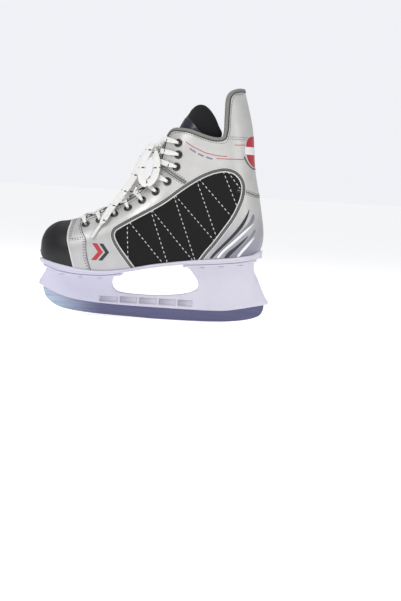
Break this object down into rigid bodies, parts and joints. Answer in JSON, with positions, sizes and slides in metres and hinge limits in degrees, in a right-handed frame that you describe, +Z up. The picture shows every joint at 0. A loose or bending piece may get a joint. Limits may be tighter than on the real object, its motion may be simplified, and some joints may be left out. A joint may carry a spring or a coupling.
{
  "type": "ice hockey skate",
  "caption": "Laced ice hockey skate: stiff boot with toe cap, padded tongue and flexing tendon guard, on a riveted blade holder with a steel runner.",
  "frame": {"origin": "middle of the heel seat, on top of the footbed", "axes": "-X towards the toe, -Y towards the wearer's left, +Z up, with the flat of the runner level"},
  "size_m": [0.2895, 0.0993, 0.2922],
  "materials": {
    "silver_leatherette": "satin coated, fine pebble grain",
    "black_weave": "coarse nylon weave",
    "toe_plastic": "satin moulded",
    "lining_fabric": "brushed",
    "tongue_felt": "felt faced",
    "board_fibre": "pressed fibre",
    "sole_plastic": "satin moulded",
    "runner_steel": "ground",
    "rivet_steel": "plain",
    "eyelet_enamel": "black enamel",
    "lace_cotton": "flat woven",
    "aglet_plastic": "crimped sleeve"
  },
  "bodies": {
    "boot": {"toe_cap": "toe_plastic", "vamp": "silver_leatherette", "right_lower_quarter": "silver_leatherette", "left_lower_quarter": "silver_leatherette", "right_upper_quarter": "silver_leatherette", "left_upper_quarter": "silver_leatherette", "heel_counter": "silver_leatherette", "right_side_panel": "black_weave", "left_side_panel": "black_weave", "ankle_lining": "lining_fabric", "footbed": "lining_fabric", "tongue_lower": "tongue_felt", "insole_board": "board_fibre", "outsole": "sole_plastic", "blade_holder": "sole_plastic", "runner": "runner_steel", "sole_rivet_1": "rivet_steel", "sole_rivet_2": "rivet_steel", "sole_rivet_3": "rivet_steel", "sole_rivet_4": "rivet_steel", "sole_rivet_5": "rivet_steel", "sole_rivet_6": "rivet_steel", "sole_rivet_7": "rivet_steel", "sole_rivet_8": "rivet_steel", "sole_rivet_9": "rivet_steel", "sole_rivet_10": "rivet_steel", "sole_rivet_11": "rivet_steel", "sole_rivet_12": "rivet_steel", "right_eyelet_1": "eyelet_enamel", "left_eyelet_1": "eyelet_enamel", "right_eyelet_2": "eyelet_enamel", "left_eyelet_2": "eyelet_enamel", "right_eyelet_3": "eyelet_enamel", "left_eyelet_3": "eyelet_enamel", "right_eyelet_4": "eyelet_enamel", "left_eyelet_4": "eyelet_enamel", "right_eyelet_5": "eyelet_enamel", "left_eyelet_5": "eyelet_enamel", "right_eyelet_6": "eyelet_enamel", "left_eyelet_6": "eyelet_enamel", "right_eyelet_7": "eyelet_enamel", "left_eyelet_7": "eyelet_enamel", "right_eyelet_8": "eyelet_enamel", "left_eyelet_8": "eyelet_enamel", "right_eyelet_9": "eyelet_enamel", "left_eyelet_9": "eyelet_enamel", "right_eyelet_10": "eyelet_enamel", "left_eyelet_10": "eyelet_enamel", "lacing": "lace_cotton", "bow_knot": "lace_cotton", "left_bow_loop": "lace_cotton", "right_bow_loop": "lace_cotton", "short_lace_end": "lace_cotton", "long_lace_end": "lace_cotton", "short_aglet": "aglet_plastic", "long_aglet": "aglet_plastic"},
    "tongue_top": {"tongue_upper": "tongue_felt"},
    "guard": {"tendon_guard": "silver_leatherette", "guard_pad": "lining_fabric"}
  },
  "joints": [
    {"name": "tongue_flip", "type": "hinge", "parent": "boot", "child": "tongue_top", "pos_m": [-0.078, 0, 0.137], "axis": [0, -1, 0], "range_deg": [0, 40], "stiffness_Nm_per_rad": 0.6},
    {"name": "tendon_guard_flex", "type": "hinge", "parent": "boot", "child": "guard", "pos_m": [0.0215, 0, 0.1394], "axis": [0, 1, 0], "range_deg": [0, 12], "stiffness_Nm_per_rad": 4}
  ]
}
